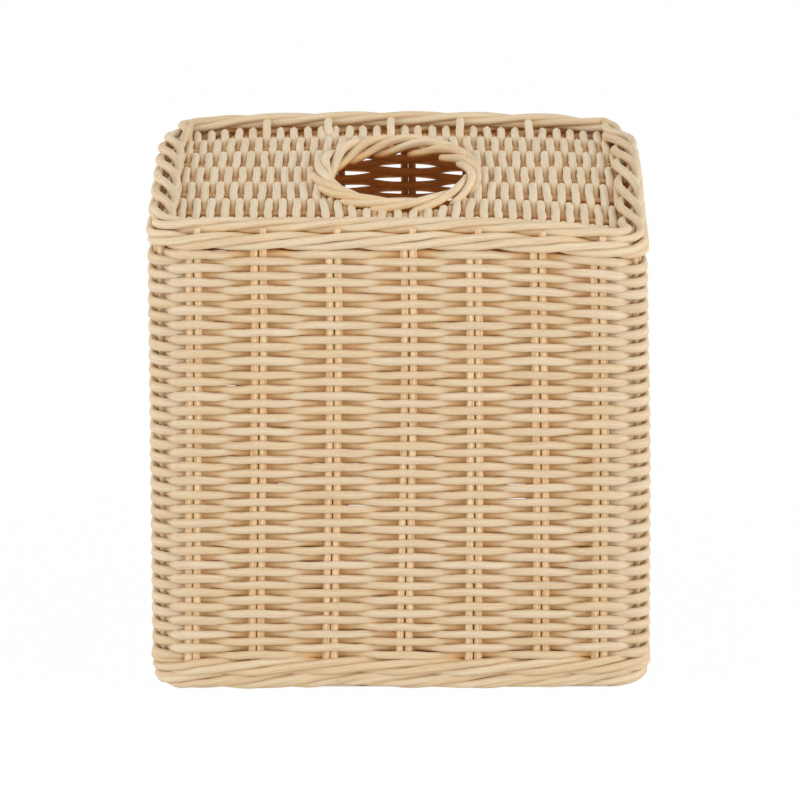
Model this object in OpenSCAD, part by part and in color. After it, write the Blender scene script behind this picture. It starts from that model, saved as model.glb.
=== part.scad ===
// Woven cover for a cube-shaped box of paper tissues. Millimetres, +Z up.
// The origin lies on the table, below the middle of the cover. The front face looks along -Y.
// The cover is open below and drops over the box. Tissues come out through the oval in its top.
//
// How it is woven:
//   pairs of upright stakes stand round a square with rounded corners,
//   the pairs of the two side faces bend over the edge and cross the top,
//   rows of single weavers pass in front of one pair and behind the next, row by row the other way,
//   three strands of waling lock the weave below and above, and rolled borders finish the three edges.

/* [Cover] */
// Width and depth over the woven faces
cover_w = 146; // [130:1:170]
// Height from the table to the top of the edge border
cover_h = 140.5; // [125:0.5:165]
// Radius of the line of stakes at the four corners
corner_r = 10; // [8:0.5:14]

/* [Stakes] */
// Diameter of a stake rod
stake_d = 2; // [1.6:0.1:2.2]
// Gap between the two rods of a pair
pair_gap = 0.5; // [0.3:0.1:0.8]
// Radius of the bend that takes a stake over the top edge
stake_bend_r = 2.6; // [2.2:0.1:3.2]

/* [Weave] */
// Thickness of a weaver
weaver_d = 2.05; // [1.6:0.05:2.05]
// Height of one row of weaving on the faces
row_pitch = 2.11; // [2.11:0.01:2.6]
// Distance between neighbouring weavers across the top
top_pitch = 2.1; // [2.1:0.02:2.8]
// Gap between the two ends of one row of weaving
joint_gap = 0.4; // [0.2:0.1:1]

/* [Waling and borders] */
// Diameter of a strand of waling or border
strand_d = 2.2; // [1.8:0.1:2.4]
// Distance that the edge border stands back from the woven faces
edge_inset = 0.3; // [0:0.1:0.8]
// Distance that the bottom border stands back from them
bottom_inset = 2; // [1:0.25:3]
// Turns that a strand of the edge border makes round the cover
edge_turns = 9; // [6:1:12]
// Turns that a strand of the bottom border makes round the cover
bottom_turns = 9; // [6:1:12]

/* [Opening] */
// Clear width of the oval opening, left to right
opening_w = 38; // [30:1:46]
// Clear length of the oval opening, front to back
opening_l = 76; // [60:1:84]
// Diameter of a strand of the opening's border
rim_strand_d = 2.4; // [2:0.1:2.8]
// Turns that a strand of the opening's border makes round the oval
rim_turns = 4; // [3:1:6]

/* [Hidden] */
// Pairs of stakes on a face, bands that the rows of weaving are shared among, and strands in a
// wale or border
pairs = 7;
bands = 9;
strands = 3;

straw = "wheat";
straw_pale = "blanchedalmond";
straw_warm = "burlywood";

// Clearances: between rods that pass each other, and where one piece is seated on another
pass_gap = 0.08;
seat_gap = 0.1;
// Depth that the strands of the bottom border are worn flat where they stand on the table
foot_cut = 0.7;

// Three strands that turn about one another touch when their centres lie this far out
rope_share = 1 / sqrt(3);
twist_r = strand_d * rope_share + pass_gap;
rope_r = twist_r + strand_d / 2;
rim_twist_r = rim_strand_d * rope_share + pass_gap;
rim_r = rim_twist_r + rim_strand_d / 2;

// Centres of the weavers lie this far in front of and behind the line of stakes
weave_amp = stake_d / 2 + weaver_d / 2 + pass_gap;
wale_amp = stake_d / 2 + strand_d / 2 + pass_gap;
wale_step = strand_d / 2 + pass_gap;
pair_half = stake_d + pair_gap / 2;
rod_offset = (stake_d + pair_gap) / 2;

// The line of stakes: half its width, its straight part, and its length along one face
line_half = cover_w / 2 - weave_amp - weaver_d / 2;
straight_half = line_half - corner_r;
face_l = 2 * straight_half + corner_r * PI / 2;
round_l = 4 * face_l;

// How far out from that line the two borders lie, and how near a bent stake passes below the upper
edge_out = weave_amp + weaver_d / 2 - edge_inset - rope_r;
bottom_out = weave_amp + weaver_d / 2 - bottom_inset - rope_r;
bend_clear = rope_r + seat_gap + stake_d / 2;

// Heights, from the table up. The top panel lies as high as its stakes fit below the edge border.
bottom_z = rope_r - foot_cut;
bottom_wale_z = bottom_z + rope_r + seat_gap + wale_step + strand_d / 2;
weave_low = bottom_wale_z + wale_step + strand_d / 2 + seat_gap;
edge_z = cover_h - rope_r;
panel_z = edge_z + stake_bend_r - sqrt(pow(bend_clear + stake_bend_r, 2) - pow(edge_out + stake_bend_r, 2));
top_wale_z = panel_z - wale_amp - wale_step;
weave_high = top_wale_z - wale_step - strand_d / 2 - seat_gap;
rows = floor((weave_high - weave_low) / row_pitch);
rim_z = panel_z + stake_d / 2 + rim_twist_r / 2;

// Places of the pairs along a face, as shares of half the line's width, left to right from outside.
// They are uneven, as a hand-woven cover's are. Those at the ends of a side face stand on the corner.
front_place_shares = [-0.845, -0.575, -0.265, 0.045, 0.315, 0.58, 0.83];
side_place_shares = [-0.93, -0.545, -0.245, 0.08, 0.38, 0.64, 0.93];
// Places of the same pairs where they cross the top, front to back
top_place_shares = [-0.85, -0.545, -0.245, 0.08, 0.38, 0.66, 0.865];

// The oval: half its width and length along the middle of its border
rim_a = opening_w / 2 + rim_r;
rim_b = opening_l / 2 + rim_r;

function turn(p, a) = [p[0] * cos(a) - p[1] * sin(a), p[0] * sin(a) + p[1] * cos(a)];

// Point at the distance q along the line of stakes, out from it by out. q grows to the right as seen
// from outside, and face 0 is the front. A place past a face's straight part lies on the corner.
function normal_at(u) = let (over = abs(u) - straight_half)
    -90 + (over > 0 ? sign(u) * over / corner_r * 180 / PI : 0);
function on_face(u, out) = let (a = normal_at(u), c = sign(u) * straight_half)
    abs(u) > straight_half
        ? [c + (corner_r + out) * cos(a), -straight_half + (corner_r + out) * sin(a)]
        : [u, -line_half - out];
function at(q, out) = let (w = (q % round_l + round_l) % round_l, k = floor(w / face_l))
    turn(on_face(w - (k + 0.5) * face_l, out), 90 * k);

// Distances along the line of stakes: front, right, back and left face in turn
function reversed(v) = [for (i = [len(v) - 1:-1:0]) -v[i]];
face_shares = [front_place_shares, side_place_shares, reversed(front_place_shares),
    reversed(side_place_shares)];
stake_q = [for (k = [0:3]) for (s = face_shares[k]) (k + 0.5) * face_l + s * line_half];
stakes = len(stake_q);
function q_of(j) = stake_q[j % stakes] + floor(j / stakes) * round_l;

// A strand with flat sides along a path of points. Each section lies square to the path, with u
// beside it and v over it as seen against up. roll turns it by that share of one side. A section
// that would reach below low is cut flat there.
function unit(v) = v / norm(v);
function section(p, before, after, up, d, sides, roll, low) = let (t = unit(after - before),
    u = unit(cross(t, up)), v = cross(u, t))
    [for (k = [0:sides - 1]) let (a = (k + roll) * 360 / sides,
        s = p + (u * cos(a) + v * sin(a)) * d / 2) [s[0], s[1], max(s[2], low)]];
module sweep(path, up, d, sides = 6, closed = false, roll = 0.5, low = -cover_h) {
    n = len(path);
    last = n - 1;
    rings = [for (i = [0:last]) each section(path[i],
        path[closed ? (i + last) % n : max(i - 1, 0)],
        path[closed ? (i + 1) % n : min(i + 1, last)], up, d, sides, roll, low)];
    skin = [for (i = [0:closed ? last : last - 1]) for (k = [0:sides - 1])
        let (j = (i + 1) % n * sides, l = (k + 1) % sides)
        each [[i * sides + k, j + k, j + l], [i * sides + k, j + l, i * sides + l]]];
    ends = closed ? [] : [[for (k = [0:sides - 1]) k], [for (k = [sides - 1:-1:0]) last * sides + k]];
    polyhedron(rings, concat(skin, ends));
}

// Upright rods of one pair on the front or the back face
stake_low = bottom_z + rope_r + seat_gap;
stake_high = edge_z - rope_r - seat_gap;
rod_facets = 24;
module upright_pair(q) for (s = [-1, 1]) translate(concat(at(q + s * rod_offset, 0), stake_low))
    cylinder(h = stake_high - stake_low, d = stake_d, $fn = rod_facets);
module front_stakes(i) color(straw) upright_pair(stake_q[i]);
module back_stakes(i) color(straw) upright_pair(stake_q[2 * pairs + i]);

// A rod up the right side, over the edge and inwards along the top to x = reach. side = -1 mirrors it.
bend_steps = 3;
stake_sides = 8;
function cross_half(i, s, side, reach) = let (
    foot = at(stake_q[pairs + i] + s * rod_offset, 0),
    row_y = top_place_shares[i] * line_half + s * rod_offset,
    centre_x = foot[0] - stake_bend_r)
    [[side * foot[0], foot[1], stake_low],
        for (b = [0:bend_steps]) let (a = 90 * b / bend_steps)
            [side * (centre_x + stake_bend_r * cos(a)), foot[1] + (row_y - foot[1]) * b / bend_steps,
                panel_z - stake_bend_r + stake_bend_r * sin(a)],
        if (reach != 0) [side * reach, row_y, panel_z]];
// Where a line at the given share of the oval's half length meets the outside of its border
function oval_reach(across, a, b) = abs(across) < b ? a * sqrt(1 - pow(across / b, 2)) : 0;
rim_out = rim_r + seat_gap;
module cross_stakes(i) color(straw) for (s = [-1, 1]) {
    row_y = top_place_shares[i] * line_half;
    reach = oval_reach(max(abs(row_y) - pair_half, 0), rim_a + rim_out, rim_b + rim_out);
    right = cross_half(i, s, 1, reach);
    left = cross_half(i, s, -1, reach);
    if (reach > 0) {
        sweep(right, [0, 1, 0], stake_d, stake_sides);
        sweep(left, [0, 1, 0], stake_d, stake_sides);
    } else sweep(concat(right, [for (k = [len(left) - 1:-1:0]) left[k]]), [0, 1, 0], stake_d, stake_sides);
}

// One row of weaving: past every pair in turn, and back to a butt joint behind the pair it began
// at. From row to row the joints move on, so that they form no line of weakness.
joint_step = 4;
function row_start(r) = (joint_step * r + (r + 1) % 2) % stakes;
function row_side(r, j) = (r + j) % 2 == 0 ? weave_amp : -weave_amp;
function row_line(r, shift) = let (j0 = row_start(r), end = j0 + stakes) [
    at(q_of(j0) + joint_gap / 2, row_side(r, j0) + shift),
    at(q_of(j0) + pair_half, row_side(r, j0) + shift),
    for (j = [j0 + 1:end - 1]) each [at(q_of(j) - pair_half, row_side(r, j) + shift),
        at(q_of(j) + pair_half, row_side(r, j) + shift)],
    at(q_of(end) - pair_half, row_side(r, j0) + shift),
    at(q_of(end) - joint_gap / 2, row_side(r, j0) + shift)];
module side_row(r) {
    inner = row_line(r, -weaver_d / 2);
    translate([0, 0, weave_low + r * row_pitch + (row_pitch - weaver_d) / 2])
        linear_extrude(weaver_d)
            polygon(concat(row_line(r, weaver_d / 2), [for (i = [len(inner) - 1:-1:0]) inner[i]]));
}
module side_weavers(b) color(b % 2 == 0 ? straw_pale : straw) for (r = [0:rows - 1])
    if (floor(r * bands / rows) == b) side_row(r);

// Waling: every strand falls behind one pair, passes low in front of the next and high in front
// of the third. A row gives how far out it lies, and its height before and after the pair.
// It begins and ends behind a pair, where it butts against the strand before and the one after.
wale_shares = [[-1, 1, -1], [1, -1, -1], [1, 1, 1]];
function wale_start(k) = strands - k % strands;
function wale_point(q, out_share, up_share, z) =
    concat(at(q, out_share * wale_amp), z + up_share * wale_step);
function wale_pass(j, k, z) = let (w = wale_shares[(j + k) % strands]) [
    wale_point(q_of(j) - pair_half, w[0], w[1], z), wale_point(q_of(j) + pair_half, w[0], w[2], z)];
function wale_path(k, z) = let (from = wale_start(k), to = wale_start(k + 1) + stakes) [
    wale_point(q_of(from) + joint_gap / 2, -1, 0, z),
    wale_pass(from, k, z)[1],
    for (j = [from + 1:to - 1]) each wale_pass(j, k, z),
    wale_pass(to, k, z)[0],
    wale_point(q_of(to) - joint_gap / 2, -1, 0, z)];
module wale(k, z) color(straw_warm) sweep(wale_path(k, z), [0, 0, 1], strand_d);
module bottom_wale(k) wale(k, bottom_wale_z);
module top_wale(k) wale(k, top_wale_z);

// Rolled borders: three strands turn about one another round the edge
// Steps are even along a face and shorter round a corner.
corner_l = corner_r * PI / 2;
corner_steps = 3;
border_steps = 14;
border_q = [for (k = [0:3]) each [
    for (i = [0:border_steps - 1]) k * face_l + corner_l / 2 + 2 * straight_half * i / border_steps,
    for (i = [0:corner_steps - 1]) (k + 1) * face_l - corner_l / 2 + corner_l * i / corner_steps]];
function border_path(k, out, z, turns) = [for (q = border_q)
    let (a = 360 * (turns * q / round_l + k / strands))
    concat(at(q, out + twist_r * cos(a)), z + twist_r * sin(a))];
module bottom_border(k) color(straw_warm)
    sweep(border_path(k, bottom_out, bottom_z, bottom_turns), [0, 0, 1], strand_d,
        closed = true, roll = 0, low = 0);
module edge_border(k) color(straw_pale)
    sweep(border_path(k, edge_out, edge_z, edge_turns), [0, 0, 1], strand_d, closed = true);

rim_steps = 32;
function rim_path(k) = [for (i = [0:rim_steps - 1])
    let (t = 360 * i / rim_steps, a = 360 * k / strands + rim_turns * t, out = rim_twist_r * cos(a))
    [(rim_a + out) * cos(t), (rim_b + out) * sin(t), rim_z + rim_twist_r * sin(a)]];
module opening_border(k) color(straw_warm) sweep(rim_path(k), [0, 0, 1], rim_strand_d, closed = true);

// Weavers across the top run front to back, over one cross pair and under the next.
top_half = line_half - weave_amp - weaver_d / 2 - seat_gap;
top_n = floor((top_half - weaver_d / 2) / top_pitch);
function top_end(x) = let (over = abs(x) + weaver_d / 2 - straight_half, r = top_half - straight_half)
    over > 0 ? straight_half + sqrt(r * r - over * over) : top_half;
function top_z(m, j) = panel_z + ((m + j) % 2 == 0 ? weave_amp : -weave_amp);
function top_line(m, from, to, shift) = [[from, panel_z + shift],
    for (j = [0:pairs - 1]) let (y = top_place_shares[j] * line_half)
        if (y - pair_half > from && y + pair_half < to)
            each [[y - pair_half, top_z(m, j) + shift], [y + pair_half, top_z(m, j) + shift]],
    [to, panel_z + shift]];
shortest_weaver = 4 * weaver_d;
module top_weaver(m, from, to) {
    under = top_line(m + top_n, from, to, -weaver_d / 2);
    if (to - from > shortest_weaver)
        translate([m * top_pitch - weaver_d / 2, 0, 0]) rotate([90, 0, 90]) linear_extrude(weaver_d)
            polygon(concat(top_line(m + top_n, from, to, weaver_d / 2),
                [for (i = [len(under) - 1:-1:0]) under[i]]));
}
rim_n = floor((rim_a + rim_out + weaver_d / 2) / top_pitch);
module top_weavers_side(side) color(straw) for (m = [rim_n + 1:top_n])
    top_weaver(side * m, -top_end(m * top_pitch), top_end(m * top_pitch));
module top_weavers_end(side) color(straw_pale) for (m = [-rim_n:rim_n]) {
    near = oval_reach(max(abs(m) * top_pitch - weaver_d / 2, 0), rim_b + rim_out, rim_a + rim_out);
    if (side < 0) top_weaver(m, -top_end(m * top_pitch), -near);
    else top_weaver(m, near, top_end(m * top_pitch));
}

for (i = [1:pairs]) {
    cross_stakes(i - 1);
    front_stakes(i - 1);
    back_stakes(i - 1);
}
for (b = [1:bands]) side_weavers(b - 1);
for (k = [1:strands]) {
    bottom_border(k - 1);
    bottom_wale(k - 1);
    top_wale(k - 1);
    edge_border(k - 1);
    opening_border(k - 1);
}
top_weavers_side(-1);  // top_weavers_left
top_weavers_side(1);  // top_weavers_right
top_weavers_end(-1);  // top_weavers_front
top_weavers_end(1);  // top_weavers_back
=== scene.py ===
"""A woven rattan cover for a cube box of tissues, dressed strand by strand round its CAD frame."""
import math
import random

import bpy
import numpy as np
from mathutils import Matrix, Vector


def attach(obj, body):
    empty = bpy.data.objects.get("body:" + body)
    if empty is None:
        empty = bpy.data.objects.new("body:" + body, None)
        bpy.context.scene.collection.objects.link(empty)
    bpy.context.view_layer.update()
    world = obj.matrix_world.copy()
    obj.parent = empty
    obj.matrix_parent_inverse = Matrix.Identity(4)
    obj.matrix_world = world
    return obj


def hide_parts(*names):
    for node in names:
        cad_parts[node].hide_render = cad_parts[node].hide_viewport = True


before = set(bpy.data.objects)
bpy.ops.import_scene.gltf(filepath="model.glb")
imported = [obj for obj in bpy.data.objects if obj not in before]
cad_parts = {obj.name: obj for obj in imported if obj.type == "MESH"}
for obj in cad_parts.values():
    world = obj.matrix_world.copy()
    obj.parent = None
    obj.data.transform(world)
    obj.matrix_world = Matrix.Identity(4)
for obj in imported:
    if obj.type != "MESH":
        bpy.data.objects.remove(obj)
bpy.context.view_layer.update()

bpy.ops.object.select_all(action="DESELECT")
chance = random.Random(11)

# Lengths below are in millimetres, as in the CAD source, and become metres in the meshes.
MM = 0.001
TAU = 2 * math.pi

# The line that the stakes stand on: a square with rounded corners, seen from above
LINE_HALF = 69.87
CORNER_R = 8.8
STRAIGHT = LINE_HALF - CORNER_R
FACE = 2 * STRAIGHT + CORNER_R * math.pi / 2
ROUND = 4 * FACE

# Places of the pairs of stakes, as shares of half the line: on the front from left to right, on the right
# side from front to back, and where the side's pairs cross the top
FRONT_SHARES = [-0.845, -0.575, -0.265, 0.045, 0.315, 0.58, 0.83]
SIDE_SHARES = [-0.93, -0.545, -0.245, 0.08, 0.38, 0.64, 0.93]
TOP_SHARES = [-0.85, -0.55, -0.245, 0.03, 0.33, 0.65, 0.865]
PAIRS = 7
# How far each rod of a pair stands from the pair's middle
ROD_OFFSET = 1.25
BACK_ROD_OFFSET = 1.18

# Heights: the middles of the borders, the walings and the panel, and the lower end of the side weaving
BOTTOM_Z = 3.15
BOTTOM_WALE_Z = 7.1
WEAVE_LOW = 9.71
ROW_PITCH = 2.097
ROWS = 58
BANDS = 9
TOP_WALE_Z = 133.95
PANEL_Z = 134.2
EDGE_Z = 137.93
RIM_Z = 136.8

# How far out from the line the faces reach, and the two borders lie
FACE_OUT = 3.11
EDGE_OUT = -2.1
BOTTOM_OUT = -0.8

# Half the width and half the length of the opening's border, along its middle
RIM_A = 22.2
RIM_B = 41.2

# Corners of a strand's section; corners of a mesh that are one, in metres; and the edges that stay sharp, in
# degrees
SIDES = 10
SAME_CORNER = 0.00001
SHARP = 50


def at(q, out):
    """The point at the distance q along the line of stakes and out from it by out, seen from above."""
    k, u = divmod(q % ROUND, FACE)
    u -= FACE / 2
    over = abs(u) - STRAIGHT
    if over > 0:
        a = -math.pi / 2 + math.copysign(over / CORNER_R, u)
        x = math.copysign(STRAIGHT, u) + (CORNER_R + out) * math.cos(a)
        y = -STRAIGHT + (CORNER_R + out) * math.sin(a)
    else:
        x, y = u, -LINE_HALF - out
    c, s = ((1, 0), (0, 1), (-1, 0), (0, -1))[int(k)]
    return x * c - y * s, x * s + y * c


def turned_round(shares):
    """The places on a face, read from the opposite face's side"""
    return [-v for v in reversed(shares)]


FACES = [FRONT_SHARES, SIDE_SHARES, turned_round(FRONT_SHARES), turned_round(SIDE_SHARES)]
PAIR_Q = [(k + 0.5) * FACE + share * LINE_HALF for k, shares in enumerate(FACES) for share in shares]
STAKES = len(PAIR_Q)


def pair_q(j):
    """How far along the line the pair j stands, with pairs counted on and on round the cover"""
    return PAIR_Q[j % STAKES] + j // STAKES * ROUND


def ease(t):
    """Goes smoothly from 0 to 1 as t does"""
    t = np.clip(t, 0.0, 1.0)
    return t * t * (3 - 2 * t)


def ramp(v, start, width):
    """Goes smoothly from 0 at start to 1 at start + width"""
    return ease((v - start) / width)


def outside(x, y):
    """How far out from the line of stakes a point lies, seen from above"""
    x, y = np.abs(x), np.abs(y)
    corner = np.hypot(np.maximum(x - STRAIGHT, 0), np.maximum(y - STRAIGHT, 0)) - CORNER_R
    return np.where((x > STRAIGHT) & (y > STRAIGHT), corner, np.maximum(x, y) - LINE_HALF)


# How this one cover has settled, as the photograph shows it. The top's back edge has dropped: at its middle,
# more on either side of it, and more again at its ends. It has come forwards, and its corners further.
BACK_DROP = 0.45
SHOULDER_DROP = 0.7
END_DROP = 0.9
BACK_FORWARD = 0.6
CORNER_FORWARD = 2.0
# The back corners are drawn in sideways, the left and the right one, and the front right corner sags
DRAWN_IN = (3.2, 3.7)
FRONT_SAG = 3.6
# The foot's front has lifted: left of its middle, along its right half and at its right end
FOOT_LIFTS = (0.5, 0.2, 0.6)
# The cover is narrower than its line, and more so at the top, which leans to the left. The foot stands to the
# right.
NARROWER = 0.0045
TOP_NARROWER = 0.008
TOP_TO_LEFT = 0.55
FOOT_TO_RIGHT = 0.62
# Where the front's pairs stand, and how far each is askew to the right at the foot
ASKEW_X = [-72.0, -59.0, -40.2, -18.5, 3.1, 22.0, 40.5, 58.0, 72.0]
ASKEW_BY = [0.0, -2.0, -2.2, -2.4, -2.7, -1.2, 0.2, -0.6, 0.0]
# The middle of a strand settles no further to the right, so that the thickest one stays in the CAD's box
FURTHEST_RIGHT = 71.7


def slump(points):
    """Where the points lie once the cover has settled. Each ramp says where across, along or up the cover a
    shift comes in."""
    x, y, z = np.array(points, float).T
    aside, ahead = np.abs(x), -y
    give = ramp(y, -10, 80) * ramp(z, 90, 50)
    drop = give * (BACK_DROP + SHOULDER_DROP * ramp(aside, 10, 35) + END_DROP * ramp(aside, 46, 14))
    forward = give * (BACK_FORWARD + CORNER_FORWARD * ramp(aside, 42, 30) * ramp(y, 42, 30))
    drawn = np.where(x < 0, *DRAWN_IN) * ramp(aside, 62.5, 5.5) * ramp(y, 41, 13) * ramp(z, 95, 40)
    sag = FRONT_SAG * np.clip((x - 18) / 50, 0, 1) ** 1.8 * np.clip((z - 85) / 52, 0, 1) ** 1.5
    sag *= ramp(ahead, -12, 55)
    bumps = np.exp(-((x + 14) / 16) ** 2), ramp(x, 18, 14), ramp(x, 45, 20)
    lift = sum(by * bump for by, bump in zip(FOOT_LIFTS, bumps))
    lift *= (1 - ramp(z, 0, 30)) * ramp(ahead, 20, 40)
    high, low = ramp(z, 60, 80), np.clip(1 - z / 130, 0, 1)
    askew = np.interp(x, ASKEW_X, ASKEW_BY) * np.clip(1 - z / 110, 0, 1) * ramp(ahead, 50, 12)
    lean = FOOT_TO_RIGHT * low - TOP_TO_LEFT * high
    x = x * (1 - NARROWER - TOP_NARROWER * high) + lean - np.sign(x) * drawn + askew
    return np.c_[np.minimum(x, FURTHEST_RIGHT), y - forward, z - drop - sag + lift]


class Drift:
    """A slow random wander along a strand, the same at every run."""

    def __init__(self, size):
        self.waves = [(size * chance.uniform(0.3, 0.7), TAU / chance.uniform(lo, hi), chance.uniform(0, TAU))
                      for lo, hi in ((9, 16), (21, 37), (50, 90))]

    def __call__(self, q):
        return sum(a * math.sin(w * q + p) for a, w, p in self.waves)


# Strands are drawn as paths with a round section, and a piece is one or more of them made solid.

def run_along(path):
    """How far along its path each point lies"""
    return np.r_[0, np.cumsum(np.linalg.norm(np.diff(path, axis=0), axis=1))]


def strand(points, radii, ends):
    """A path, its radius at each point and a tone of its own. radii is one radius for each point or one for
    all. ends says over which lengths its first and last end are rounded off, and down to which share of its
    thickness."""
    first, last, blunt = ends
    path = np.array(points, float)
    run = run_along(path)
    radii = np.ones(len(path)) * radii
    for length, from_end in ((first, run), (last, run[-1] - run)):
        share = np.clip(from_end / length, 0, 1)
        radii = radii * (blunt + (1 - blunt) * np.sqrt(1 - (1 - share) ** 2))
    return path, radii, chance.random()


def woven(name, strands, nodes, material, press=None):
    """Makes the piece that shows in place of the CAD's nodes: strands swept round their settled paths, marked
    for the shader and, with press, flattened."""
    shape = bpy.data.curves.new(name, "CURVE")
    shape.dimensions = "3D"
    shape.bevel_depth = MM
    shape.bevel_resolution = SIDES // 2 - 2
    shape.use_fill_caps = True
    settled = [slump(points) for points, _, _ in strands]
    for points, (_, radii, _) in zip(settled, strands):
        path = shape.splines.new("POLY")
        path.points.add(len(points) - 1)
        path.points.foreach_set("co", np.c_[points * MM, np.ones(len(points))].ravel())
        path.points.foreach_set("radius", radii)
    piece = bpy.data.objects.new(name, shape)
    bpy.context.scene.collection.objects.link(piece)
    bpy.ops.object.select_all(action="DESELECT")
    piece.select_set(True)
    bpy.context.view_layer.objects.active = piece
    bpy.ops.object.convert(target="MESH")
    piece = bpy.context.object
    piece.name = piece.data.name = name
    mark_fibres(piece.data, strands)
    mark_depth(piece.data, strands, settled)
    if press:
        press_flat(piece.data, settled, *press)
    bpy.ops.object.mode_set(mode="EDIT")
    bpy.ops.mesh.select_all(action="SELECT")
    bpy.ops.mesh.remove_doubles(threshold=SAME_CORNER)
    bpy.ops.mesh.normals_make_consistent(inside=False)
    bpy.ops.object.mode_set(mode="OBJECT")
    bpy.ops.object.shade_smooth_by_angle(angle=math.radians(SHARP))
    piece.data.materials.clear()
    piece.data.materials.append(material)
    piece.select_set(False)
    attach(piece, "root")
    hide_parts(*nodes)


def by_corner(values):
    """Spreads values for the rings of each strand over the corners of the mesh that the strands became:
    first the end caps, from the last strand to the first, and then every ring in its turn."""
    caps = [np.array([v[-1], v[0]]) for v in reversed(values)]
    return np.repeat(np.concatenate(caps + list(values)), SIDES, axis=0)


def corner_places(mesh):
    """Where the mesh's corners lie, in mm"""
    place = np.empty(len(mesh.vertices) * 3, np.float32)
    mesh.vertices.foreach_get("co", place)
    return place.reshape(-1, 3).astype(float) / MM


def way_out(middle):
    """The level direction that leads out of the cover, for points near the line of stakes"""
    way = middle * (1, 1, 0)
    way -= np.clip(way, -STRAIGHT, STRAIGHT)
    return way / (np.linalg.norm(way, axis=1)[:, None] + 1e-9)


def press_flat(mesh, paths, way, share):
    """Flattens strands that are pressed on the stakes, outwards or upwards, to a share of their thickness."""
    middle = by_corner(paths)
    off = corner_places(mesh) - middle
    normal = way_out(middle) if way == "out" else np.array([[0.0, 0.0, 1.0]])
    off -= (1 - share) * (off * normal).sum(1)[:, None] * normal
    mesh.vertices.foreach_set("co", ((middle + off) * MM).astype(np.float32).ravel())
    mesh.update()


def write_values(mesh, name, values):
    layer = mesh.attributes.new(name, "FLOAT", "POINT")
    layer.data.foreach_set("value", values.astype(np.float32))


def mark_fibres(mesh, strands):
    """Writes where each corner lies along its strand and round it, and the strand's own tone."""
    along = by_corner([run_along(path) for path, _, _ in strands])
    turn = np.arange(len(along)) % SIDES
    corners = np.empty(len(mesh.loops), np.int32)
    mesh.loops.foreach_get("vertex_index", corners)
    starts = np.empty(len(mesh.polygons), np.int32)
    counts = np.empty(len(mesh.polygons), np.int32)
    mesh.polygons.foreach_get("loop_start", starts)
    mesh.polygons.foreach_get("loop_total", counts)
    k = turn[corners].astype(float)
    # The faces between the last corner of a ring and the first are the ones where the turn is complete
    first_and_last = (np.minimum.reduceat(k, starts) == 0) & (np.maximum.reduceat(k, starts) == SIDES - 1)
    seam = first_and_last & (counts == 4)
    k[np.repeat(seam, counts) & (k == 0)] = SIDES
    while mesh.uv_layers:
        mesh.uv_layers.remove(mesh.uv_layers[0])
    layer = mesh.uv_layers.new(name="fibre")
    layer.uv.foreach_set("vector", np.c_[along[corners] * MM, k / SIDES].astype(np.float32).ravel())
    write_values(mesh, "tone", by_corner([np.full(len(path), tone) for path, _, tone in strands]))


# The level above the panel that depth is counted from, and how much deeper an inner face counts, so that
# faces turned into the cover get more painted shade
TOP_LEVEL = PANEL_Z + 4.2
INNER_FACE = 3.0
# The vertical corners bulge, so they count as less deep and get less painted shade
CORNER_LESS = 1.5


def mark_depth(mesh, strands, settled):
    """Writes how deep in the weave each corner lay before the cover settled, for painted light and shade."""
    off = corner_places(mesh) - by_corner(settled)
    middle = by_corner([path for path, _, _ in strands])
    x, y, z = (middle + off).T
    below_face, below_top = FACE_OUT - outside(x, y), TOP_LEVEL - z
    off /= np.linalg.norm(off, axis=1)[:, None] + 1e-9
    faces = np.where(below_face < below_top, (off * way_out(middle)).sum(1), off[:, 2])
    depth = np.minimum(below_face, below_top) + INNER_FACE * np.clip(-faces, 0, 1)
    depth -= CORNER_LESS * ramp(np.abs(x), 54, 8) * ramp(np.abs(y), 54, 8)
    write_values(mesh, "depth", depth)


# Materials

def rgb(code):
    """A colour written as sRGB hex, in the linear values that the shader takes."""
    channels = [int(code[i:i + 2], 16) / 255 for i in (1, 3, 5)]
    return [c / 12.92 if c <= 0.04045 else ((c + 0.055) / 1.055) ** 2.4 for c in channels] + [1]


def node(tree, kind, settings=None, **inputs):
    """Adds a node, with its settings, its socket values and the links that come into it."""
    made = tree.nodes.new(kind)
    for key, value in (settings or {}).items():
        setattr(made, key, value)
    for key, value in inputs.items():
        numbered = key[0] == "i" and key[1:].isdigit()
        socket = made.inputs[int(key[1:]) if numbered else key.replace("_", " ")]
        if isinstance(value, bpy.types.NodeSocket):
            tree.links.new(value, socket)
        else:
            socket.default_value = value
    return made


# Painted light and shade by depth in the weave: a paler warm colour as painted bounce light in the shallow
# recesses, then browns as painted shade further in. From and to which depth each comes in, and its share
PAINTED_LIGHT_AND_SHADE = [(2.0, 4.0, 0.85, "#fdd89c"), (3.5, 4.9, 0.5, "#dc9a50"), (5.0, 6.2, 0.92, "#dc9240")]
# The radius of strand that the marks' widths are true for, and how far apart the strands' noise lies
MARKS_R = 1.1
NOISE_APART = 90.0


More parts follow.
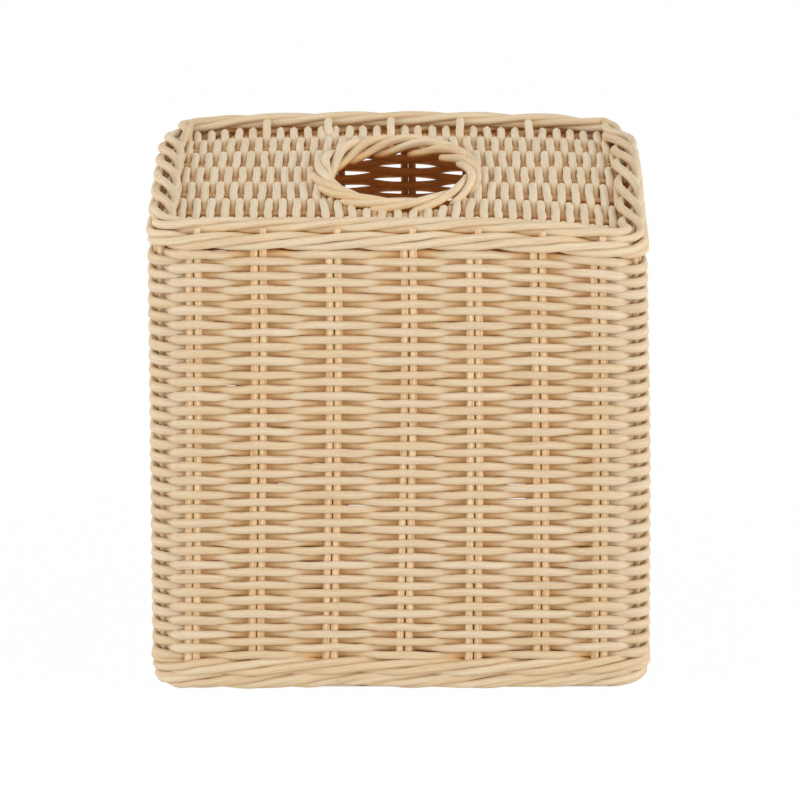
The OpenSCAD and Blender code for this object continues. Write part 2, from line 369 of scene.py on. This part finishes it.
def rattan(name, shades, groove_colour, groove_share, groove_depth, fibre_width):
    """Peeled rattan core, the inside of the cane drawn through a round die: matt, porous, straw-coloured,
    with fibres and open pores that run along the strand. Deeper in the weave its colour is painted: a paler
    warm colour as painted bounce light in the shallow recesses, and browns as painted shade further in. The
    shades are pale, warm and stained. The grooves between the fibres are groove_depth mm deep."""
    material = bpy.data.materials.new(name)
    material.use_nodes = True
    tree = material.node_tree
    tree.nodes.clear()
    pale, warm, stain = (rgb(code) for code in shades)
    groove = rgb(groove_colour)
    out = node(tree, "ShaderNodeOutputMaterial")
    uv = node(tree, "ShaderNodeUVMap", {"uv_map": "fibre"})
    split = node(tree, "ShaderNodeSeparateXYZ", i0=uv.outputs[0])
    angle = node(tree, "ShaderNodeMath", {"operation": "MULTIPLY"}, i0=split.outputs[1], i1=TAU)
    cos = node(tree, "ShaderNodeMath", {"operation": "COSINE"}, i0=angle.outputs[0])
    sin = node(tree, "ShaderNodeMath", {"operation": "SINE"}, i0=angle.outputs[0])
    place = node(tree, "ShaderNodeCombineXYZ", i0=split.outputs[0], i1=cos.outputs[0], i2=sin.outputs[0])
    tone = node(tree, "ShaderNodeAttribute", {"attribute_name": "tone"}).outputs["Fac"]
    depth = node(tree, "ShaderNodeAttribute", {"attribute_name": "depth"}).outputs["Fac"]
    seed = node(tree, "ShaderNodeMath", {"operation": "MULTIPLY"}, i0=tone, i1=NOISE_APART)

    def pattern(length, width, detail, rough, shift):
        """Noise in long thin marks of the given length and width in mm"""
        stretched = node(tree, "ShaderNodeVectorMath", {"operation": "MULTIPLY"}, i0=place.outputs[0],
                         i1=(1 / (length * MM), MARKS_R / width, MARKS_R / width))
        moved = node(tree, "ShaderNodeMath", {"operation": "ADD"}, i0=seed.outputs[0], i1=shift)
        return node(tree, "ShaderNodeTexNoise", {"noise_dimensions": "4D"}, Vector=stretched.outputs[0],
                    W=moved.outputs[0], Scale=1.0, Detail=detail, Roughness=rough).outputs["Fac"]

    def between(value, low, high, to_low, to_high):
        return node(tree, "ShaderNodeMapRange", {"interpolation_type": "SMOOTHSTEP"}, Value=value,
                    From_Min=low, From_Max=high, To_Min=to_low, To_Max=to_high).outputs[0]

    def mixed(share, first, second):
        return node(tree, "ShaderNodeMix", {"data_type": "RGBA"}, i0=share, i6=first, i7=second).outputs[2]

    streak = pattern(14, 0.5, 2.0, 0.5, 0.0)
    fibre = pattern(9, fibre_width, 2.0, 0.6, 7.0)
    patch = pattern(30, 2.5, 2.0, 0.6, 19.0)
    pore = pattern(1.6, 0.11, 0.0, 0.5, 31.0)
    spread = node(tree, "ShaderNodeMath", {"operation": "ADD"}, i0=tone,
                  i1=between(streak, 0.3, 0.7, -0.45, 0.45)).outputs[0]
    colour = mixed(between(spread, -0.1, 1.1, 0.0, 1.0), pale, warm)
    colour = mixed(between(patch, 0.55, 0.75, 0.0, 0.5), colour, stain)
    colour = mixed(between(fibre, 0.32, 0.62, groove_share, 0.0), colour, groove)
    colour = mixed(between(pore, 0.7, 0.76, 0.0, 0.3), colour, groove)
    # The painted light and shade: a paler warm colour in the shallow recesses of the weave, browns deeper in
    for near, far, share, code in PAINTED_LIGHT_AND_SHADE:
        colour = mixed(between(depth, near, far, 0.0, share), colour, rgb(code))
    relief = node(tree, "ShaderNodeMath", {"operation": "SUBTRACT"}, i0=fibre,
                  i1=between(pore, 0.7, 0.76, 0.0, 0.5)).outputs[0]
    bump = node(tree, "ShaderNodeBump", Height=relief, Strength=0.6, Distance=groove_depth * MM)
    rough = between(fibre, 0.3, 0.7, 0.72, 0.58)
    shader = node(tree, "ShaderNodeBsdfPrincipled", Base_Color=colour, Roughness=rough, IOR=1.45,
                  Normal=bump.outputs[0])
    tree.links.new(shader.outputs[0], out.inputs[0])
    return material


# Paler than the weavers, partly their own colour and partly painted light on the rods recessed between the
# floats
stake_rattan = rattan("Peeled rattan core, stakes", ("#f6e3c0", "#f0d6aa", "#e6c798"),
                      "#c8904c", 0.65, 0.2, 0.5)
weaver_rattan = rattan("Peeled rattan core, weavers", ("#e3d1b4", "#dec6a1", "#d3bd9e"),
                       "#b98c5c", 0.32, 0.07, 0.2)
# The top's weavers are paler than the sides': painted light on the top of the cover
panel_rattan = rattan("Peeled rattan core, top weavers", ("#f0dfc3", "#ead6b3", "#dfcbae"),
                      "#b99469", 0.28, 0.07, 0.2)
border_rattan = rattan("Peeled rattan core, waling and borders", ("#e5d3b3", "#dec49e", "#d2ba97"),
                       "#b98d5c", 0.32, 0.07, 0.22)
# The opening's border is paler than the other borders: painted light on the top of the cover
rim_rattan = rattan("Peeled rattan core, border of the opening", ("#f2dfbf", "#ebd0a7", "#dfc7a4"),
                    "#b98d5c", 0.32, 0.07, 0.22)


# The side weaving

# A weaver's radius where it floats over a pair and where it crosses between pairs, and the share of its
# thickness that it is pressed to
FLOAT_R = 1.28
CROSS_R = 1.13
PRESSED = 0.78
WEAVE_OUT = FACE_OUT - FLOAT_R * PRESSED
# How much lower a weaver runs behind a pair, and how far it lies flat to either side of one
BEHIND_DIP = 0.8
FLAT_HALF = 1.8
# No side weaver reaches further from the middle of the cover
LIMIT = 72.4
# The weavers swell and bulge over this stretch before the corners
CORNER_RUN = 7
CORNER_SWELL = 0.16
CORNER_BULGE = 1.2
CORNER_BULGE_BEHIND = 0.8
# Behind the pairs a weaver wanders in and out by this share of what it does before them
PUSH_BEHIND = 0.4
ROW_STEPS = 9
WEAVER_ENDS = (1.2, 1.2, 0.7)
# The last length of a row lies inside its first, where the weaver is cut off behind its pair. Its points
# start past the pair, and each lies further along, further in and higher than the one before.
LAP_POINTS = 4
LAP_START = 1.5
LAP_STEP = 1.4
LAP_IN = 0.5
LAP_IN_STEP = 0.4
LAP_UP = 0.5


def weaver_row(r):
    """Row r: once round, over one pair and under the next, the other way about than the row below, and from
    another pair on"""
    first = (4 * r + r % 2) % STAKES
    thick = chance.uniform(0.95, 1.04)
    lift, push, swell = Drift(0.15), Drift(0.08), Drift(0.04)
    z = WEAVE_LOW + ROW_PITCH * (r + 0.5) + chance.uniform(-0.08, 0.08)
    points, radii = [], []
    for j in range(first, first + STAKES):
        side = -1 if (r + j) % 2 == 0 else 1
        q0, q1 = pair_q(j), pair_q(j + 1)
        flat = FLAT_HALF / (q1 - q0)
        for i in range(ROW_STEPS + (j == first + STAKES - 1)):
            t = i / ROW_STEPS
            bend = side * math.cos(math.pi * min(max((t - flat) / (1 - 2 * flat), 0), 1))
            q = q0 + (q1 - q0) * t
            turning = ramp(abs(q % FACE - FACE / 2), STRAIGHT - CORNER_RUN, CORNER_RUN + 1)
            radius = (CROSS_R + (FLOAT_R - CROSS_R) * abs(bend) ** 1.6) * thick
            radius *= 1 + swell(q) + CORNER_SWELL * turning
            out = bend * WEAVE_OUT + push(q) * (1 if bend > 0 else PUSH_BEHIND)
            out = min(out, FACE_OUT - radius * PRESSED)
            out += turning * (CORNER_BULGE * bend if bend > 0 else CORNER_BULGE_BEHIND)
            x, y = np.clip(at(q, out), radius * PRESSED - LIMIT, LIMIT - radius * PRESSED)
            points.append((x, y, z + lift(q) - BEHIND_DIP * (1 - bend) / 2))
            radii.append(radius)
    for i in range(LAP_POINTS):
        q = pair_q(first) + ROUND + LAP_START + LAP_STEP * i
        x, y = at(q, -WEAVE_OUT - LAP_IN - LAP_IN_STEP * i)
        points.append((x, y, z + lift(q) - BEHIND_DIP + LAP_UP * i / (LAP_POINTS - 1)))
        radii.append(radii[-1])
    return strand(points, radii, WEAVER_ENDS)


for band in range(BANDS):
    rows = [r for r in range(ROWS) if r * BANDS // ROWS == band]
    woven(f"weaving_{band + 1}", [weaver_row(r) for r in rows], [f"side_weavers_{band + 1}"],
          weaver_rattan, ("out", PRESSED))


# The stakes: pairs of upright rods, and those of the side faces run on across the top

STAKE_R = 1.17
# Of a front or back pair the left rod ends behind the upper waling and the right one in the edge border
UPRIGHT_LOW = 4.4
LEFT_HIGH = 134.6
RIGHT_HIGH = 137.7
UPRIGHT_STEPS = 34
# How much further out a rod stands above the upper waling than below it
STUB_OUT = 0.35
UPRIGHT_ENDS = (0.6, 0.4, 0.75)


def upright(q, high):
    """A rod of the front or back"""
    sway, lean = Drift(0.05), Drift(0.06)
    points = []
    for i in range(UPRIGHT_STEPS + 1):
        z = UPRIGHT_LOW + (high - UPRIGHT_LOW) * i / UPRIGHT_STEPS
        x, y = at(q + sway(z), lean(z) + STUB_OUT * ramp(z, 132, 4))
        points.append((x, y, z))
    return strand(points, STAKE_R * chance.uniform(0.97, 1.02), UPRIGHT_ENDS)


for face, word, apart in ((0, "front", ROD_OFFSET), (2, "back", BACK_ROD_OFFSET)):
    for i in range(PAIRS):
        q = PAIR_Q[face * PAIRS + i]
        woven(f"{word}_pair_{i + 1}", [upright(q - apart, LEFT_HIGH), upright(q + apart, RIGHT_HIGH)],
              [f"{word}_stakes_{i + 1}"], stake_rattan)

# Across the top the rods are shaved down, and lie lower and closer together
ACROSS_R = 0.7
ACROSS_DOWN = 0.4
ACROSS_OFFSET = 0.8
# They are thick as far out as SHAVED_FROM and thin within SHAVED_OVER of there
SHAVED_FROM = 69
SHAVED_OVER = 6
CROSSING_LOW = 4.2
CROSSING_ENDS = (0.6, 0.6, 0.6)
# The bend over the edge, by whose end a rod has come this share of the way to its line across the top
BEND_R = 2.6
BEND_STEPS = 6
BEND_SHARE = 0.8
# Past the bend a rod comes to its own line and level over this length
SETTLES_OVER = 9
# The oval that the cut rods end on, and half the width of a pair there
OVAL_A = RIM_A + 0.5
OVAL_B = RIM_B + 0.5
PAIR_HALF = 2.25


def oval_reach(across, a, b):
    """Half the chord of an oval of the half axes a and b, at the distance across from its middle along b"""
    return a * math.sqrt(1 - (across / b) ** 2) if abs(across) < b else 0.0


def crossing(i, s, side, reach):
    """A rod up one side face, over the edge and inwards to x = side * reach."""
    q = PAIR_Q[PAIRS + i] + s * ROD_OFFSET
    fx, fy = at(q, 0)
    row_y = TOP_SHARES[i] * LINE_HALF + s * ACROSS_OFFSET
    sway, lean = Drift(0.05), Drift(0.06)
    points = [(fx + lean(z), fy + sway(z), z) for z in np.linspace(CROSSING_LOW, PANEL_Z - BEND_R - 1, 32)]
    for b in range(BEND_STEPS + 1):
        a = math.pi / 2 * b / BEND_STEPS
        y = fy + (row_y - fy) * ease(b / BEND_STEPS) * BEND_SHARE
        points.append((fx - BEND_R + BEND_R * math.cos(a), y, PANEL_Z - BEND_R + BEND_R * math.sin(a)))
    start_y = points[-1][1]
    for x in np.linspace(fx - BEND_R - 3, reach, 18):
        settle = ease((fx - BEND_R - x) / SETTLES_OVER)
        points.append((x, start_y + (row_y - start_y) * settle + lean(x) * settle,
                       PANEL_Z - ACROSS_DOWN * settle + sway(x)))
    return [(side * x, y, z) for x, y, z in points]


def crossing_strand(rod):
    radii = [STAKE_R + (ACROSS_R - STAKE_R) * ease((SHAVED_FROM - abs(x)) / SHAVED_OVER) for x, _, _ in rod]
    return strand(rod, radii, CROSSING_ENDS)


for i in range(PAIRS):
    rods = []
    reach = oval_reach(max(abs(TOP_SHARES[i] * LINE_HALF) - PAIR_HALF, 0), OVAL_A, OVAL_B)
    for s in (-1, 1):
        right, left = crossing(i, s, 1, reach), crossing(i, s, -1, reach)
        whole = [right, left] if reach else [right[:-1] + left[::-1]]
        rods += [crossing_strand(rod) for rod in whole]
    woven(f"crossing_pair_{i + 1}", rods, [f"cross_stakes_{i + 1}"], stake_rattan)


# The waling: three strands, each in front of two pairs and behind one, and rising to the right

WALE_R = 1.2
WALE_STEPS = 10
# A strand's height and its place before (1) or behind (-1) the stakes, at steps counted in pairs
WALE_KNOTS = [-0.5, 0, 0.5, 1, 2, 2.5, 3, 3.5]
WALE_HIGH = [1.7, 0, -1.7, -1.3, 1.3, 1.7, 0, -1.7]
WALE_OUT = [0, -1, 0, 1, 1, 0, -1, 0]
# Each step of a strand's course is evened out with its neighbours by these shares
WALE_EVEN = [0.15, 0.22, 0.26, 0.22, 0.15]
BORDER_ENDS = (1.5, 1.5, 0.6)


def wale_start(k):
    """The pair that strand k starts at, one before the last strand's"""
    return 3 - k % 3


def wale_strand(k, middle):
    """Strand k of the waling whose middle lies at that height: once round, up to where the next one starts"""
    first, last = wale_start(k), wale_start(k + 1) + STAKES
    lift = Drift(0.1)
    run = np.arange(0, (last - first) * WALE_STEPS + 1) / WALE_STEPS
    phase = run % 3
    near = np.searchsorted(WALE_KNOTS, phase, "right") - 1
    knots, highs, outs = (np.array(v, float) for v in (WALE_KNOTS, WALE_HIGH, WALE_OUT))
    line = (phase - knots[near]) / (knots[near + 1] - knots[near])
    high = highs[near] + (highs[near + 1] - highs[near]) * line
    out = outs[near] + (outs[near + 1] - outs[near]) * ease(line)
    high, out = (np.convolve(np.pad(v, 2, "edge"), WALE_EVEN, "valid") for v in (high, out))
    radius = WALE_R * chance.uniform(0.98, 1.03)
    points = []
    for step, z, share in zip(run, high, out):
        j = first + int(step)
        q = pair_q(j) + (pair_q(j + 1) - pair_q(j)) * (step % 1)
        x, y = at(q, min(share * (FACE_OUT - WALE_R), FACE_OUT - radius))
        points.append((x, y, middle + z + lift(q)))
    return strand(points, radius, BORDER_ENDS)


for k in range(3):
    for word, middle in (("bottom", BOTTOM_WALE_Z), ("top", TOP_WALE_Z)):
        woven(f"{word}_waling_{k + 1}", [wale_strand(k, middle)], [f"{word}_wale_{k + 1}"],
              border_rattan)


# The rolled borders of the edge and the foot

# Turns of a strand on its way round, and the length by which it laps over its own start
TURNS = 9
ROPE_LAP = 3
ROPE_STEPS = 240
# How far the strands wind outwards and upwards from the border's middle, their radius and their wander
EDGE_WINDS = (1.35, 1.2, 1.16, 0.05)
FOOT_WINDS = (1.6, 1.7, 1.17, 0.22)
# On the side faces the edge border is wider by this at either side, and lies this much further out
EDGE_SIDE_REACH = 1.6
EDGE_SIDE_SHIFT = 0.35
# A strand is thicker by this share for each mm that it reaches further
SIDE_THICKER = 0.07
# No strand comes nearer to the table than this
CLEAR = 0.03
# The foot border's strands are two rods each, this share of a turn before and behind the strand's middle
FOOT_APART = 0.055


def rope(phase, out, z, reach_out, reach_up, radius, wander, side_reach=0.0, side_shift=0.0):
    """A strand that winds round the middle of a border, up across its outer side to the right. It reaches
    reach_out and reach_up from there, and side_reach and side_shift more on the side faces."""
    lift = Drift(wander)
    points, radii = [], []
    start = ROUND * (0.5 - phase) / TURNS
    radius *= chance.uniform(0.98, 1.02)
    for i in range(ROPE_STEPS + 1):
        q = start + (ROUND + ROPE_LAP) * i / ROPE_STEPS
        a = TAU * (TURNS * q / ROUND + phase)
        side_face = ease(0.5 - math.cos(2 * TAU * (q - FACE / 2) / ROUND))
        wide = reach_out + side_reach * side_face
        x, y = at(q, out + side_shift * side_face + wide * math.cos(a) + lift(q) * 0.5)
        points.append((x, y, max(z + reach_up * math.sin(a) + lift(q + 100), radius + CLEAR)))
        radii.append(radius * (1 + SIDE_THICKER * side_reach * side_face))
    return strand(points, radii, BORDER_ENDS)


for k in range(3):
    edge = rope(k / 3, EDGE_OUT, EDGE_Z, *EDGE_WINDS, EDGE_SIDE_REACH, EDGE_SIDE_SHIFT)
    woven(f"edge_rope_{k + 1}", [edge], [f"edge_border_{k + 1}"], border_rattan)
    foot = [rope(k / 3 + s * FOOT_APART, BOTTOM_OUT, BOTTOM_Z, *FOOT_WINDS) for s in (-1, 1)]
    woven(f"foot_rope_{k + 1}", foot, [f"bottom_border_{k + 1}"], border_rattan)


# The top panel: weavers from front to back, over one crossing pair and under the next

TOP_PITCH = 2.1
TOP_FRONT = -64.8
TOP_BACK = 64.4
# Weavers on either side of the middle one, and how many of those may meet the opening
TOP_N = 31
RIM_N = 12
# A weaver's radius over a pair and between pairs, the share of its thickness that it is pressed to, and how
# far it rises and dips
TOP_FLOAT_R = 1.22
TOP_CROSS_R = 1.08
TOP_PRESSED = 0.68
TOP_OUT = 1.55
# How long a weaver lies flat over and under a pair, as shares of the way to the next; longer under the second
TOP_LONG = 0.36
TOP_SHORT = 0.05
SECOND_SHORT = 0.25
# A weaver bends as if one more pair stood before the first, by this much where it goes over or under the
# first, and another behind the last
BEFORE_OVER = 16
BEFORE_UNDER = 34
BEHIND_LAST = 12
# Some weavers come up against the back border, and end this much further back
UP_BACK = 2.8
# Those that meet the opening end at its border, RIM_OUT outside its middle, and start again behind it after
# RIM_GAP. A weaver meets the border with its sides, MEETS_AT from its middle. One that would be shorter than
# SHORTEST is left out.
RIM_OUT = 0.6
RIM_GAP = 3.6
SHORTEST = 6
MEETS_AT = 0.8
# The opening's border pushes the weavers beside it aside, most of all this far outside its middle, and less
# over this share of the oval
RIM_PUSH = 0.7
RIM_PUSH_OUT = 4
RIM_PUSH_OVER = 0.22
# The panel's corners are rounder than the line's, and a weaver's edge ends where the corner lets it
CORNER_MORE = 3
WEAVER_HALF = 1.0
PANEL_STEP = 1.9
PANEL_ENDS = (1.4, 1.6, 0.4)
# Heights that a weaver comes up to, as shares of TOP_OUT: against the back border, and at the opening's
UP_SHARE = 1.8
TUCKED_SHARE = 0.5
# How much less a weaver stands up by the front border, and how much more behind the last pair
EDGE_SHARE = 0.45
BACK_PAIRS = [-share * LINE_HALF for share in FRONT_SHARES]


def top_end(x, end):
    """Where a weaver at x ends at the front or back, sooner where the corners are round"""
    over = abs(x) + WEAVER_HALF - STRAIGHT
    if over <= 0:
        return end
    r = abs(end) - STRAIGHT + CORNER_MORE
    return math.copysign(STRAIGHT - CORNER_MORE + math.sqrt(max(r * r - over * over, 0)), end)


def parted(x, y):
    """Where a weaver at x lies once the opening's border has pushed it aside"""
    round_rim = math.hypot(x / (RIM_A + RIM_PUSH_OUT), y / (RIM_B + RIM_PUSH_OUT))
    push = RIM_PUSH * math.exp(-((round_rim - 1) / RIM_PUSH_OVER) ** 2) * (1 - ramp(round_rim, 1.02, 0.5))
    return x + math.copysign(push * min(abs(x) / 8, 1), x)


def top_weaver(m, start, end, over=False, tucked=False):
    """Weaver m of the top, from start to end. One that is over the edge comes up against the back border, and
    one that is tucked comes up against the opening's."""
    ys = [share * LINE_HALF for share in TOP_SHARES]
    marks = [(y, 1 if (m + TOP_N + j) % 2 == 0 else -1) for j, y in enumerate(ys)]
    before = (ys[0] - (BEFORE_OVER if marks[0][1] > 0 else BEFORE_UNDER), -marks[0][1])
    marks = [before] + marks + [(ys[-1] + BEHIND_LAST, -marks[-1][1])]
    lean, lift = Drift(0.16), Drift(0.06)
    thick = chance.uniform(0.96, 1.04)
    points, radii = [], []
    for y in np.linspace(start, end, 1 + max(4, round((end - start) / PANEL_STEP))):
        near = max(i for i in range(len(marks) - 1) if marks[i][0] <= y)
        (y0, s0), (y1, s1) = marks[near], marks[near + 1]
        short = SECOND_SHORT if near == 1 else TOP_SHORT
        flat, turn = (TOP_LONG if s0 > 0 else short), 1 - TOP_LONG - short
        bend = s0 * math.cos(math.pi * min(max(((y - y0) / (y1 - y0) - flat) / turn, 0), 1))
        if over and y > ys[-1] - 7:
            bend += (UP_SHARE - bend) * ramp(y, ys[-1] - 7, 6)
        if tucked:
            bend += max(TUCKED_SHARE - bend, 0) * ramp(y, end - 6, 4)
        reach = TOP_OUT
        if bend > 0:
            reach *= 1 - EDGE_SHARE * ramp(-y, 48, 8) + EDGE_SHARE * ramp(y, ys[-1], 4)
        points.append((parted(m * TOP_PITCH + lean(y), y), y, PANEL_Z + bend * reach + lift(y)))
        radii.append((TOP_CROSS_R + (TOP_FLOAT_R - TOP_CROSS_R) * min(abs(bend), 1) ** 1.5) * thick)
    return strand(points, radii, PANEL_ENDS)


panel = {"left": [], "right": [], "front": [], "back": []}
for m in range(-TOP_N, TOP_N + 1):
    x = m * TOP_PITCH
    over = min(abs(x - pair) for pair in BACK_PAIRS[1:-1]) < TOP_PITCH / 2
    front, back = top_end(x, TOP_FRONT), top_end(x, TOP_BACK + UP_BACK * over)
    near = oval_reach(max(abs(x) - MEETS_AT, 0), RIM_B + RIM_OUT, RIM_A + RIM_OUT)
    if abs(m) > RIM_N or near == 0:
        panel["left" if m < 0 else "right"].append(top_weaver(m, front, back, over))
        continue
    if -near - front > SHORTEST:
        panel["front"].append(top_weaver(m, front, -near, tucked=True))
    if back - near - RIM_GAP > SHORTEST:
        panel["back"].append(top_weaver(m, near + RIM_GAP, back, over))
for word, strands in panel.items():
    woven(f"panel_{word}", strands, [f"top_weavers_{word}"], panel_rattan, ("up", TOP_PRESSED))


# The rolled border of the opening: short lengths, each from the outer side over to the inner side

RIM_R = 1.21
RIM_TWIST = 1.72
LENGTHS = 14
RIM_STEPS = 28
# The turn of a length round the border's middle, in degrees: where it starts, how far it goes at the front
# and how much further at the back
RIM_FROM = -38
RIM_SWEEP = 256
BEHIND_SWEEP = 34
# Behind the opening the border is wider, higher and thicker by these shares
BEHIND_WIDER = 0.15
BEHIND_HIGHER = 0.45
BEHIND_THICKER = 0.08
# The border has sunk by this, and by this much more behind the opening
RIM_DOWN = 0.2
BEHIND_DOWN = 1.0
# How much further out than the turn a tail stays: any tail, and then how much more those of most lengths and
# of some at the front left do
TAIL_OUT = 0.5
TAIL = 0.2
TAILS = {7: 0.5, 8: 0.9, 9: 0.8, 10: 0.6}
TAIL_STEPS = 7
RIM_ENDS = (2.2, 2.2, 0.35)


def rim_length(i):
    """One length, from its tail outside the border, over the top of it, to its tip inside. Those behind the
    opening lie lower and reach further round."""
    middle = TAU * (i + 0.5 + chance.uniform(-0.12, 0.12)) / LENGTHS
    half = TAU * chance.uniform(1.55, 1.8) / LENGTHS
    wide, drift = RIM_TWIST * chance.uniform(0.95, 1.06), Drift(0.15)
    behind = ease((math.sin(middle) + 0.3) / 0.9)
    tail = TAILS.get(i, TAIL)
    points = []
    for n in range(RIM_STEPS + 1):
        t = middle - half + 2 * half * n / RIM_STEPS
        a = math.radians(RIM_FROM + (RIM_SWEEP + BEHIND_SWEEP * behind) * n / RIM_STEPS)
        loose = max(0, 1 - n / TAIL_STEPS)
        out = (1 + BEHIND_WIDER * behind) * wide * math.cos(a) + (TAIL_OUT + tail) * loose ** 1.5
        up = (1 + BEHIND_HIGHER * behind) * wide * math.sin(a) + 0.5 * tail * loose
        up -= RIM_DOWN + BEHIND_DOWN * behind
        points.append(((RIM_A + out + drift(n)) * math.cos(t), (RIM_B + out) * math.sin(t), RIM_Z + up))
    return strand(points, RIM_R * chance.uniform(0.95, 1.05) * (1 + BEHIND_THICKER * behind), RIM_ENDS)


for k in range(3):
    woven(f"opening_rope_{k + 1}", [rim_length(i) for i in range(k, LENGTHS, 3)],
          [f"opening_border_{k + 1}"], rim_rattan)


# The set: a pale floor that runs to the horizon, soft studio light, and the camera

def seen_directly(tree):
    """1 for what the camera sees, also mirrored or through glass, and 0 for light thrown on the object"""
    path = node(tree, "ShaderNodeLightPath")
    seen = path.outputs["Is Camera Ray"]
    for ray in ("Is Glossy Ray", "Is Transmission Ray"):
        either = node(tree, "ShaderNodeMath", {"operation": "MAXIMUM"}, i0=seen, i1=path.outputs[ray])
        seen = either.outputs[0]
    return seen


# The paper's share of even white, which leaves a little of the object's shadow
PAPER_WHITE = 0.985
# The painted shade on the floor inside the cover ends between these distances past the straight part of
# its faces
DARK_TO = 4.6
WHITE_FROM = 5.8


def studio_paper(name):
    """A white sweep of studio paper: white where the camera sees it, less the object's soft shadow. Inside
    the cover, where no studio light falls on it, its colour is a painted brown shade for the dim light that
    comes through the weave."""
    material = bpy.data.materials.new(name)
    material.use_nodes = True
    tree = material.node_tree
    tree.nodes.clear()
    out = node(tree, "ShaderNodeOutputMaterial")
    glow = node(tree, "ShaderNodeEmission", Color=rgb("#ffffff"), Strength=1.0)
    place = node(tree, "ShaderNodeTexCoord")
    apart = node(tree, "ShaderNodeSeparateXYZ", i0=place.outputs["Object"])
    past = []
    for axis in (0, 1):
        wide = node(tree, "ShaderNodeMath", {"operation": "ABSOLUTE"}, i0=apart.outputs[axis])
        past.append(node(tree, "ShaderNodeMath", {"operation": "SUBTRACT", "use_clamp": True},
                         i0=wide.outputs[0], i1=STRAIGHT * MM).outputs[0])
    past = node(tree, "ShaderNodeCombineXYZ", i0=past[0], i1=past[1])
    far = node(tree, "ShaderNodeVectorMath", {"operation": "LENGTH"}, i0=past.outputs[0])
    open_floor = node(tree, "ShaderNodeMapRange", Value=far.outputs["Value"], From_Min=DARK_TO * MM,
                      From_Max=WHITE_FROM * MM).outputs[0]
    # Inside the cover the paper's colour is a painted brown shade
    colour = node(tree, "ShaderNodeMix", {"data_type": "RGBA"}, i0=open_floor, i6=rgb("#a06c3a"),
                  i7=rgb("#f2f1ef"))
    paper = node(tree, "ShaderNodeBsdfDiffuse", Color=colour.outputs[2])
    share = node(tree, "ShaderNodeMath", {"operation": "MULTIPLY"}, i0=seen_directly(tree), i1=PAPER_WHITE)
    share = node(tree, "ShaderNodeMath", {"operation": "MULTIPLY"}, i0=share.outputs[0], i1=open_floor)
    both = node(tree, "ShaderNodeMixShader", i0=share.outputs[0], i1=paper.outputs[0], i2=glow.outputs[0])
    tree.links.new(both.outputs[0], out.inputs[0])
    return material


# The floor's size, and its place just below the object, in metres
FLOOR_SIZE = 8
FLOOR_Z = -0.0002

bpy.ops.mesh.primitive_plane_add(size=FLOOR_SIZE, location=(0, 0, FLOOR_Z))
floor = bpy.context.object
floor.name = "floor"
floor.data.materials.append(studio_paper("White studio paper"))

# The studio all round: even light on the object, and white where the camera sees it
STUDIO_LIGHT = 0.72

world = bpy.data.worlds.new("studio")
bpy.context.scene.world = world
world.use_nodes = True
tree = world.node_tree
tree.nodes.clear()
sky = node(tree, "ShaderNodeBackground", Color=rgb("#ffffff"), Strength=STUDIO_LIGHT)
white = node(tree, "ShaderNodeBackground", Color=rgb("#ffffff"), Strength=1.0)
both = node(tree, "ShaderNodeMixShader", i0=seen_directly(tree), i1=sky.outputs[0], i2=white.outputs[0])
out = node(tree, "ShaderNodeOutputWorld")
tree.links.new(both.outputs[0], out.inputs[0])

# The height of the object's middle, which the lamps shine on, and the width of a lamp, in metres
MIDDLE_Z = 0.07
LAMP_SIZE = 1.0


def softbox(name, place, power):
    """A square lamp at the place, in metres, that shines on the object"""
    data = bpy.data.lights.new(name, "AREA")
    data.energy, data.size = power, LAMP_SIZE
    lamp = bpy.data.objects.new(name, data)
    lamp.location = place
    lamp.rotation_euler = (Vector((0, 0, MIDDLE_Z)) - Vector(place)).to_track_quat("-Z", "Y").to_euler()
    bpy.context.scene.collection.objects.link(lamp)


softbox("right", (1.4, -0.7, 0.45), 12.0)
softbox("left", (-1.4, -0.7, 0.45), 10.3)

# The photograph's view: from 15.2 degrees above the horizon and 2.29 m away, through a long lens. The focal
# length is counted in pixels of the 800 pixel picture, the sensor in mm, and the point aimed at in metres.
CAMERA_FAR = 2.29
CAMERA_UP = math.radians(15.2)
FOCAL_PIXELS = 7738
PICTURE_PIXELS = 800
SENSOR = 36
AIM = Vector((0.00015, 0, 0.06777))

camera_data = bpy.data.cameras.new("camera")
camera_data.sensor_width = SENSOR
camera_data.lens = SENSOR * FOCAL_PIXELS / PICTURE_PIXELS
camera = bpy.data.objects.new("camera", camera_data)
bpy.context.scene.collection.objects.link(camera)
camera.location = (0, -CAMERA_FAR * math.cos(CAMERA_UP), MIDDLE_Z + CAMERA_FAR * math.sin(CAMERA_UP))
camera.rotation_euler = (AIM - camera.location).to_track_quat("-Z", "Y").to_euler()
bpy.context.scene.camera = camera
bpy.context.scene.view_settings.view_transform = "Standard"
